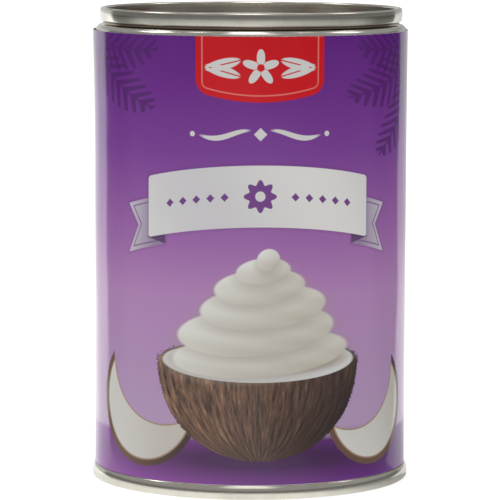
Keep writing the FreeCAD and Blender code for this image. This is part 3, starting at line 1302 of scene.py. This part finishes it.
@dataclass(frozen=True)
class PrintedPaper:
    """Gloss label paper with its print: a heaped bowl and two slices under a plain ribbon."""

    name: str = "printed_label_paper"
    front: float = 2.2
    foot: float = 3.05
    top: float = 105.3
    sky: tuple[tuple[float, tuple[int, int, int]], ...] = (
        (13.4, (174, 150, 182)),
        (30.0, (173, 138, 180)),
        (46.0, (172, 128, 178)),
        (57.8, (154, 101, 166)),
        (68.2, (138, 81, 156)),
        (78.6, (118, 58, 144)),
        (92.4, (104, 38, 133)),
        (105.3, (90, 22, 122)),
    )
    motifs: tuple[Motif, ...] = (
        Ground(),
        Spray(50.0, 104.0, 198.0, 25.0, -0.010),
        Spray(51.0, 103.0, 222.0, 30.0, -0.012),
        Spray(52.0, 101.0, 246.0, 30.0, -0.010),
        Spray(-47.0, 104.0, -20.0, 22.0, 0.012, 5.4),
        Spray(-48.0, 102.0, -48.0, 25.0, 0.012, 5.6),
        Spray(54.0, 102.0, 292.0, 28.0, 0.012),
        Spray(55.0, 104.0, 322.0, 27.0, 0.012),
        Spray(-50.0, 102.0, 236.0, 26.0, -0.012),
        Spray(-51.0, 104.0, 208.0, 24.0, -0.012),
        Tab(),
        Flourish(),
        Ribbon(),
        Slice(-29.0, 21.0, -26.0, 15.0),
        Slice(29.5, 19.8, 32.0, 13.8),
        Bowl(),
        Cream(),
    )
    gloss: float = 0.10
    raw_rough: float = 0.6
    smudge_rough: float = 0.08
    worn_rough: float = 0.3
    worn: Fade = Fade(0.55, 0.8, 0.55)
    worn_rim: tuple[float, float, float] = (-2.6, 1.5, 0.05)
    pulp_scale: float = 2.4
    pulp_relief: float = 0.02
    wave_scales: tuple[float, float, float] = (0.05, 0.05, 0.018)
    relief: float = 0.6

    def lay_sky(self, graph: Graph, z: Field) -> bpy.types.NodeSocket:
        """The ground colour of the sheet, darker upwards.

        Args:
            graph: the material's graph.
            z: up the sheet.

        Returns:
            The colour.
        """
        node = graph.add("ShaderNodeValToRGB", (z - self.foot) / (self.top - self.foot))
        stops = node.color_ramp.elements
        for index, (height, colour) in enumerate(self.sky):
            place = (height - self.foot) / (self.top - self.foot)
            stop = stops[index] if index < 2 else stops.new(place)
            stop.position = place
            stop.color = ink(*colour)
        return node.outputs[0]

    def paint(self, graph: Graph) -> bpy.types.NodeSocket:
        """The whole print.

        Args:
            graph: the material's graph.

        Returns:
            Its colour.
        """
        sheet = graph.add("ShaderNodeAttribute", attribute_name="print", attribute_type="GEOMETRY")
        along, rise, _ = graph.parts(sheet.outputs["Vector"])
        x = along / MM - self.front
        z = rise / MM + self.foot
        canvas = Canvas(graph, x, z, self.lay_sky(graph, z))
        for motif in self.motifs:
            motif.lay(canvas)
        return canvas.colour

    def make(self, handling: Handling) -> bpy.types.Material:
        """Builds the material.

        Args:
            handling: the shared marks.

        Returns:
            The material.
        """
        finish = Finish(self.name)
        graph = finish.graph
        marks = handling.place(graph, finish.place, Amount=0.6, Size=0.8)
        outside = graph.add("ShaderNodeAttribute", attribute_name="outside", attribute_type="GEOMETRY")
        printed = graph.field(outside.outputs["Fac"])
        pulp = graph.noise(finish.place, self.pulp_scale, detail=4.0, rough=0.7)
        x, y, z = graph.parts(finish.place)
        rim = (-abs(z - (self.foot + self.top) / 2) + (self.top - self.foot) / 2).at_least(0.0)
        by_rim, by_pulp, anyway = self.worn_rim
        worn = self.worn.of(rim * by_rim + pulp * by_pulp + anyway)
        picture = graph.blend(worn, self.paint(graph), Ink.WORN)
        ways = (way * scale for way, scale in zip((x, y, z), self.wave_scales))
        height = graph.noise(graph.vector(*ways), 1.0) + pulp * printed.flipped() * self.pulp_relief
        rough = printed.flipped() * self.raw_rough + marks["Smudge"] * self.smudge_rough
        finish.give(
            Base_Color=graph.blend(printed, graph.blend(pulp, Ink.PULP_DEEP, Ink.PULP), picture),
            Roughness=rough + worn * self.worn_rough + self.gloss,
            Normal=finish.bump(height, self.relief),
            IOR=1.5,
        )
        return finish.material


# The can


class End(Enum):
    """An end of the can, with the way to it along the axis."""

    TOP = 1
    BOTTOM = -1


@dataclass(frozen=True)
class CanSizes:
    """Sizes that the body and its ends share, in millimetres."""

    height: float = 110.4
    wall: float = 36.4
    neck: float = 34.6
    body_plate: float = 0.20
    end_plate: float = 0.24
    play: float = 0.06
    seam: float = 3.15

    @property
    def flange_inside(self) -> float:
        """The bend inside the body's flange."""
        return self.end_plate / 2 + self.play

    def wall_at(self, end: End) -> float:
        """Radius of the body's wall inside an end's seam."""
        return self.neck if end is End.TOP else self.wall

    def crest_at(self, end: End) -> float:
        """Height of the crest of an end's seam."""
        return self.height if end is End.TOP else 0.0


@dataclass
class CanWall:
    """The plate of the body: two flanges, a plain wall and the shoulder under the top seam."""

    sizes: CanSizes
    finish: bpy.types.Material
    shoulder_bend: float = 1.5
    neck_bend: float = 0.7
    neck_straight: float = 0.05
    hook: float = 1.6
    segments: int = 320
    ripple: float = 0.012

    def flange(self, profile: Profile, end: End) -> None:
        """A flange folded over inside its seam: the top one from its hook, the bottom one to it.

        Args:
            profile: the plate's outer face so far.
            end: the end of the can that it is at.
        """
        sizes, way = self.sizes, end.value
        wall, fold = sizes.wall_at(end), sizes.flange_inside
        top = sizes.crest_at(end) - way * (sizes.end_plate + sizes.play)
        root = top - way * (sizes.body_plate + fold)
        stops = [(wall + 2 * fold, root), (wall + fold, top - way * sizes.body_plate), (wall, root)]
        start, *bends = stops[::way]
        profile.line(*start)
        for stop in bends:
            profile.bend(Side.LEFT, fold, *stop)
        if end is End.BOTTOM:
            profile.line(wall + 2 * fold, top - way * self.hook)

    def build(self, tree: TurnedTree) -> bpy.types.Object:
        """Builds the wall.

        Args:
            tree: what turns it.

        Returns:
            The piece.
        """
        sizes = self.sizes
        inset = sizes.wall - sizes.neck
        bends = self.shoulder_bend + self.neck_bend
        run = math.sqrt(2 * bends * inset - inset**2)
        share = self.neck_bend / bends
        under = sizes.height - sizes.seam - self.neck_straight
        hook_end = sizes.height - sizes.end_plate - sizes.play - self.hook
        outer = Profile(sizes.neck + 2 * sizes.flange_inside, hook_end)
        self.flange(outer, End.TOP)
        outer.line(sizes.neck, under)
        outer.bend(Side.LEFT, self.neck_bend, sizes.neck + inset * share, under - run * share)
        outer.bend(Side.RIGHT, self.shoulder_bend, sizes.wall, under - run)
        self.flange(outer, End.BOTTOM)
        piece = tree.turn("can_wall", outer.plate(sizes.body_plate), self.segments, self.ripple, self.finish)
        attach(piece, BODY)
        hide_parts("can_body")
        return piece


@dataclass
class CanEnd:
    """A stamped end, its edge curled down and under the body's flange."""

    sizes: CanSizes
    finish: bpy.types.Material
    end: End
    name: str
    node: str
    groove_depth: float = 4.3
    groove_bend: float = 0.6
    panel_rise: float = 1.3
    panel_bend: float = 0.4
    crest_bend: float = 0.5
    crest_lean: float = 7.0
    seam_lean: float = 10.0
    roll_bend: float = 0.6
    roll_lean: float = 38.0
    cover_hook: float = 2.1
    bead_bend: float = 1.2
    bead_rise: float = 0.6
    beads: tuple[float, ...] = (7.8, 3.6)
    step_margin: float = 12.4
    step_drop: float = 0.5
    segments: int = 320
    ripple: float = 0.012

    @property
    def wall(self) -> float:
        """Radius of the body's wall inside the seam."""
        return self.sizes.wall_at(self.end)

    def panel(self, profile: Profile, edge: float) -> None:
        """From the middle over the step and the beads to the panel's edge.

        Args:
            profile: the outer face so far.
            edge: radius of the panel's edge.
        """
        level = self.panel_rise - self.groove_depth
        half = half_run(self.bead_bend, self.step_drop)
        step = edge - self.step_margin
        profile.line(step - 2 * half, level - self.step_drop)
        profile.bend(Side.LEFT, self.bead_bend, step - half, level - self.step_drop / 2)
        profile.bend(Side.RIGHT, self.bead_bend, step, level)
        half = half_run(self.bead_bend, self.bead_rise)
        for margin in self.beads:
            bead = edge - margin
            profile.line(bead - 2 * half, level)
            profile.bend(Side.LEFT, self.bead_bend, bead - half, level + self.bead_rise / 2)
            profile.bend(Side.RIGHT, self.bead_bend, bead + half, level + self.bead_rise / 2)
            profile.bend(Side.LEFT, self.bead_bend, bead + 2 * half, level)
        profile.line(edge, level)

    def rim(self, profile: Profile, chuck: float) -> None:
        """Down into the groove, up the chuck wall, over the crest, and under into the hook.

        Args:
            profile: the outer face so far.
            chuck: radius of the chuck wall.
        """
        sizes = self.sizes
        groove = self.groove_bend
        side = chuck - 2 * groove
        level = self.panel_rise - self.groove_depth
        profile.bend(Side.RIGHT, self.panel_bend, side, level - self.panel_bend)
        profile.line(side, groove - self.groove_depth)
        profile.bend(Side.LEFT, groove, chuck - groove, -self.groove_depth)
        profile.bend(Side.LEFT, groove, chuck, groove - self.groove_depth)
        profile.line(chuck, -self.crest_bend)
        profile.bend(Side.RIGHT, self.crest_bend, chuck + self.crest_bend, 0.0)
        self.seam(profile)
        profile.line(self.wall + sizes.play, self.cover_hook - sizes.seam)

    def seam(self, profile: Profile) -> None:
        """The seam's rounded outside, which leans in towards its rolled edge, and the fold there.

        The arcs touch smoothly: the wall's own bend is worked out so that the fold just fits
        between the seam's outside and the can's wall, at the seam's full length.

        Args:
            profile: the outer face so far, up to the crest.
        """
        sizes = self.sizes
        crest, lean, roll = (math.radians(d) for d in (self.crest_lean, self.seam_lean, self.roll_lean))
        width = 2 * sizes.end_plate + sizes.body_plate + 2 * sizes.play
        outside = self.wall + width + sizes.play
        drop = self.roll_bend * (math.sin(roll) - math.sin(lean))
        inward = self.roll_bend * (math.cos(lean) - math.cos(roll))
        rest = (1 - math.sin(roll)) / (1 + math.cos(roll))
        high = sizes.seam - self.crest_bend * (1 - math.sin(crest)) - drop - rest * (width - inward)
        wall_bend = high / (math.sin(crest) + math.sin(lean) - rest * (1 - math.cos(lean)))
        fold = (width - inward - wall_bend * (1 - math.cos(lean))) / (1 + math.cos(roll))
        near, level = outside - wall_bend * (1 - math.cos(crest)), -self.crest_bend * (1 - math.sin(crest))
        profile.line(near - self.crest_bend * math.cos(crest), 0.0)
        profile.bend(Side.RIGHT, self.crest_bend, near, level)
        near = outside - wall_bend * (1 - math.cos(lean))
        level -= wall_bend * (math.sin(crest) + math.sin(lean))
        profile.bend(Side.RIGHT, wall_bend, near, level)
        profile.bend(Side.RIGHT, self.roll_bend, near - inward, level - drop)
        profile.bend(Side.RIGHT, fold, self.wall + sizes.play + fold, -sizes.seam)
        profile.bend(Side.RIGHT, fold, self.wall + sizes.play, fold - sizes.seam)

    def build(self, tree: TurnedTree) -> bpy.types.Object:
        """Builds the end.

        Args:
            tree: what turns it.

        Returns:
            The piece.
        """
        sizes = self.sizes
        chuck = self.wall - sizes.body_plate - sizes.play - sizes.end_plate
        outer = Profile(0.0, self.panel_rise - self.groove_depth - self.step_drop)
        self.panel(outer, chuck - 2 * self.groove_bend - self.panel_bend)
        self.rim(outer, chuck)
        way, crest = self.end.value, sizes.crest_at(self.end)
        points = outer.plate(sizes.end_plate, closed=False)[::way]
        points = [Vector((point.x, point.y * way + crest)) for point in points]
        piece = tree.turn(self.name, points, self.segments, self.ripple, self.finish)
        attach(piece, BODY)
        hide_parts(self.node)
        return piece


@dataclass
class PaperLabel:
    """The paper round the wall, set a little slanting, loose at its upper edge on one side."""

    finish: bpy.types.Material
    radius: float = 36.45
    lap: float = 8.0
    ramp: float = 5.0
    paper: float = 0.15
    foot: float = 3.29
    height: float = 102.0
    slant: float = 0.035
    free: float = 34.0
    lean: float = 0.54
    wander: float = 0.03
    columns: int = 361
    rows: int = 44

    def build(self, tree: WrapTree) -> bpy.types.Object:
        """Wraps the label.

        Args:
            tree: what wraps it.

        Returns:
            The piece.
        """
        values = {title: getattr(self, title.lower()) * MM for title in tree.LENGTHS}
        values.update(Columns=self.columns, Rows=self.rows, Finish=self.finish)
        piece = tree.make("paper_label", bpy.data.meshes.new("start"), **values)
        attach(piece, BODY)
        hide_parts("label")
        return piece


# The studio


@dataclass(frozen=True)
class Softbox:
    """A lamp with a soft front, aimed at the can."""

    name: str
    azimuth: float
    elevation: float
    distance: float
    wide: float
    high: float
    watts: float

    def hang(self, target: Vector) -> None:
        """Adds the lamp.

        Args:
            target: what it points at.
        """
        lamp = bpy.data.lights.new(self.name, "AREA")
        lamp.shape = "RECTANGLE"
        lamp.size = self.wide
        lamp.size_y = self.high
        lamp.energy = self.watts
        light = added(self.name, lamp)
        azimuth, elevation = math.radians(self.azimuth), math.radians(self.elevation)
        way = Vector((
            math.sin(azimuth) * math.cos(elevation),
            -math.cos(azimuth) * math.cos(elevation),
            math.sin(elevation),
        ))
        light.location = target + way * self.distance
        light.rotation_euler = way.to_track_quat("Z", "Y").to_euler()


@dataclass(frozen=True)
class Sides:
    """A number for the left of the room and another for its right."""

    left: float
    right: float

    def at(self, right: Field) -> Field:
        """The number for a place, where right is 1 on the right and 0 on the left."""
        return right * (self.right - self.left) + self.left


@dataclass(frozen=True)
class Backdrop:
    """The white wall behind the can, as bright things see it, and the floor that leads up to it."""

    degrees: Sides = Sides(47.4, 38.2)
    white: Sides = Sides(1.05, 0.75)
    wings: Sides = Sides(1.0, 0.35)
    edge: Fade = Fade(1.06, 0.96)
    wing: Fade = Fade(0.60, 1.0)
    outer_girth: float = 1.7
    nearest: float = 1e-4

    def strength(self, x: Field, y: Field, girth: float, glow: object, extra: object) -> Field:
        """How white it is, 0 past its ends and on the camera's side.

        Args:
            x: eastward part of a place or a direction.
            y: its part away from the camera.
            girth: how far to the side the view begins.
            glow: what the wings on either side add to the white.
            extra: what is added all over.

        Returns:
            The strength.
        """
        right = x.above(0.0)
        ends = Sides(*(math.tan(math.radians(end)) for end in (self.degrees.left, self.degrees.right)))
        limit = y.at_least(self.nearest) * ends.at(right)
        outer = (abs(x) - girth * self.outer_girth).at_least(0.0) / limit
        inner = (abs(x) - girth).at_least(0.0) / limit
        wing = self.wing.of(inner) * self.wings.at(right)
        return self.edge.of(outer) * y.above(0.0) * (wing * glow + self.white.at(right) + extra)


def ray_kinds(graph: Graph) -> tuple[Field, Field]:
    """Tells what a ray looks for.

    Args:
        graph: the graph of the material or the world.

    Returns:
        1 where the ray is seen, straight or through something clear, and 1 where it is mirrored.
    """
    path = graph.add("ShaderNodeLightPath").outputs
    seen = graph.field(path["Is Camera Ray"]).at_least(path["Is Transmission Ray"])
    return seen, graph.field(path["Is Glossy Ray"])


@dataclass(frozen=True)
class Room:
    """The world: white to the camera, an even glow for matt things, a studio for bright ones.

    Its fades are read on the height of a direction, from 0 level to 1 straight up, but for the
    one that says how far round to the camera's side the front band runs.
    """

    backdrop: Backdrop
    dim: float
    horizon: float
    ambient: float = 0.80
    front_gain: float = 0.25
    left_gain: float = 0.13
    wall: float = 0.35
    wall_low: Fade = Fade(0.30, 0.16, 0.25)
    ceiling_edge: Fade = Fade(0.45, 0.85)
    ceiling: float = 0.34
    upper: Fade = Fade(0.14, 0.30, 0.18)
    skyline: Fade = Fade(0.10, 0.0)
    front: Fade = Fade(0.86, 0.96)
    front_band: Fade = Fade(0.54, 0.68, 1.1)
    nearest: float = 1e-5

    def build(self) -> None:
        """Makes it the scene's world."""
        world = bpy.data.worlds.new("studio")
        graph = emptied(world)
        x, y, z = graph.parts(graph.add("ShaderNodeTexCoord").outputs["Generated"])
        above = self.ceiling_edge.of(z)
        wall = self.backdrop.strength(x, y, 0.0, 0.0, 0.0) * (self.wall_low.of(z) + self.wall)
        upper = self.upper.of(z) + self.skyline.of(z) * self.horizon + self.dim
        ahead = self.front.of(-y / length_of(x, y).at_least(self.nearest))
        room = (wall * above.flipped()).at_least(above * self.ceiling).at_least(upper)
        room = room.at_least(ahead * self.front_band.of(z))
        even = (y * -self.front_gain - x * self.left_gain + 1.0) * self.ambient
        seen, mirrored = ray_kinds(graph)
        strength = mirrored * (room - even) + even
        strength = strength + seen * strength.flipped()
        background = graph.add("ShaderNodeBackground", WHITE, strength)
        graph.add("ShaderNodeOutputWorld", background.outputs[0])
        bpy.context.scene.world = world


@dataclass(frozen=True)
class Floor:
    """A pale floor that keeps the can's shadow, and that bright things see as a studio's.

    Its fades are read on how far a place is from the can's axis, in metres. Those named for a
    side are read on the direction from the axis instead, and right_shade on the way to the right.
    """

    backdrop: Backdrop
    dim: float
    reach: float = 6.0
    pale: tuple[float, float, float, float] = (0.80, 0.80, 0.80, 1.0)
    lift: float = 0.5
    girth: float = 0.036
    near: Fade = Fade(0.5, 0.05, 0.20)
    wide: Fade = Fade(2.0, 0.35, 0.50)
    side_loss: float = 0.30
    right_loss: float = 0.06
    side_behind: Fade = Fade(0.0, 0.32, -0.55)
    right_shade: Fade = Fade(0.02, 0.05)
    right_reach: Fade = Fade(0.4, 0.1, -0.4)
    side_lit: Fade = Fade(0.0, 0.5, 0.22)
    front_lit: float = 0.06
    side_end: Fade = Fade(0.9, 0.4)
    lit: Fade = Fade(0.10, 0.045)
    wing_glow: tuple[Fade, Fade] = (Fade(2.2, 0.8), Fade(0.16, 0.5, 0.6))
    all_glow: tuple[Fade, Fade] = (Fade(0.6, 0.3), Fade(0.04, 0.12, 0.35))
    nearest: float = 0.01

    def sheen(self, graph: Graph) -> Field:
        """What bright things see in the floor.

        Args:
            graph: the material's graph.

        Returns:
            Its strength.
        """
        x, y, _ = graph.parts(graph.add("ShaderNodeTexCoord").outputs["Object"])
        away = length_of(x, y)
        side, behind = x / away.at_least(self.nearest), y / away.at_least(self.nearest)
        near = self.near.of(away) + self.wide.of(away) + self.dim
        near = near * (abs(side) * -self.side_loss - side * self.right_loss + 1.0)
        near = near * (self.side_behind.of(behind) + 1.0)
        near = near * (self.right_shade.of(x) * self.right_reach.of(away) + 1.0)
        lit = (self.side_lit.of(abs(side)) + self.front_lit) * self.side_end.of(side)
        near = near + lit * self.lit.of(away)
        glows = (first.of(away) * second.of(away) for first, second in (self.wing_glow, self.all_glow))
        return self.backdrop.strength(x, y, self.girth, *glows).at_least(near)

    def build(self) -> None:
        """Lays the floor and dresses it."""
        mesh = bpy.data.meshes.new("floor")
        corners = [(x * self.reach, y * self.reach, 0.0) for x, y in ((-1, -1), (1, -1), (1, 1), (-1, 1))]
        mesh.from_pydata(corners, [], [(0, 1, 2, 3)])
        material = bpy.data.materials.new("pale_floor")
        graph = emptied(material)
        seen, mirrored = ray_kinds(graph)
        matt = graph.add("ShaderNodeBsdfDiffuse", self.pale)
        lifted = graph.add("ShaderNodeEmission", WHITE, seen * self.lift)
        plain = graph.add("ShaderNodeAddShader", matt.outputs[0], lifted.outputs[0])
        bright = graph.add("ShaderNodeEmission", WHITE, self.sheen(graph))
        mixed = graph.add("ShaderNodeMixShader", mirrored, plain.outputs[0], bright.outputs[0])
        graph.add("ShaderNodeOutputMaterial", mixed.outputs[0])
        mesh.materials.append(material)
        added("floor", mesh)


@dataclass(frozen=True)
class Studio:
    """A white room, lit softly from above, open and dim on the side of the camera."""

    dim: float = 0.16
    horizon: float = 0.05
    target: tuple[float, float, float] = (0.0, 0.0, 0.055)
    softboxes: tuple[Softbox, ...] = (
        Softbox("lamp_over", -6.0, 76.0, 1.1, 0.30, 0.40, 0.9),
        Softbox("lamp_left", -98.0, 48.0, 1.1, 0.30, 0.30, 1.1),
        Softbox("lamp_right", 100.0, 48.0, 1.1, 0.30, 0.30, 0.7),
        Softbox("lamp_small_left", -80.0, 68.0, 1.1, 0.14, 0.14, 0.12),
        Softbox("lamp_small_right", 80.0, 68.0, 1.1, 0.12, 0.12, 0.07),
        Softbox("lamp_rear", 180.0, 62.0, 1.1, 0.60, 0.36, 0.55),
    )

    def build(self) -> None:
        """Sets the whole studio up."""
        backdrop = Backdrop()
        Room(backdrop, self.dim, self.horizon).build()
        Floor(backdrop, self.dim + self.horizon).build()
        for softbox in self.softboxes:
            softbox.hang(Vector(self.target))


@dataclass(frozen=True)
class Camera:
    """A long lens a little above the can's rim, looking slightly down."""

    place: tuple[float, float, float] = (-0.00008, -0.8145, 0.14287)
    pitch: float = 6.289
    roll: float = 0.215
    lens: float = 249.75
    sensor: float = 36.0
    nearest: float = 0.01

    def build(self) -> None:
        """Adds the camera and makes it the scene's."""
        data = bpy.data.cameras.new("camera")
        data.lens = self.lens
        data.sensor_width = self.sensor
        data.clip_start = self.nearest
        camera = added("camera", data)
        turn = Matrix.Rotation(math.radians(90 - self.pitch), 4, "X")
        turn = turn @ Matrix.Rotation(math.radians(self.roll), 4, "Z")
        camera.location = self.place
        camera.rotation_euler = turn.to_euler()
        bpy.context.scene.camera = camera


def build_can() -> list[bpy.types.Object]:
    """Builds the can's four pieces.

    Returns:
        The pieces, from the foot up.
    """
    grain, handling = RolledGrain(), Handling()
    sizes = CanSizes()
    # Painted shade on the wall's neck from 106.6 mm up, and in each end's seam groove.
    plate = Tinplate("tinplate_wall", turned=True, gap=106.6).make(grain, handling)
    end_plate = Tinplate("tinplate_end", bright=(226, 222, 209), groove=34.1).make(grain, handling)
    paper = PrintedPaper().make(handling)
    turned, wrapped = TurnedTree(), WrapTree()
    return [
        CanEnd(
            sizes,
            end_plate,
            End.BOTTOM,
            "bottom_end_plate",
            "bottom_end",
            crest_lean=4.0,
            roll_bend=2.4,
        ).build(turned),
        CanWall(sizes, plate).build(turned),
        PaperLabel(paper).build(wrapped),
        CanEnd(sizes, end_plate, End.TOP, "top_end_plate", "top_end").build(turned),
    ]


def report(pieces: list[bpy.types.Object]) -> None:
    """Logs each piece's faces and size.

    Args:
        pieces: the can's pieces.
    """
    for piece in pieces:
        size = " x ".join(f"{side / MM:.1f}" for side in piece.dimensions)
        log.info("%s: %d faces, %s mm", piece.name, len(piece.data.polygons), size)


def main() -> None:
    """Builds the can, then the studio round it."""
    logging.basicConfig(level=logging.INFO, format="%(name)s: %(message)s", stream=sys.stdout)
    bpy.context.scene.view_settings.view_transform = "Standard"
    pieces = build_can()
    Studio().build()
    Camera().build()
    bpy.context.view_layer.update()
    report(pieces)


if __name__ == "__main__":
    main()
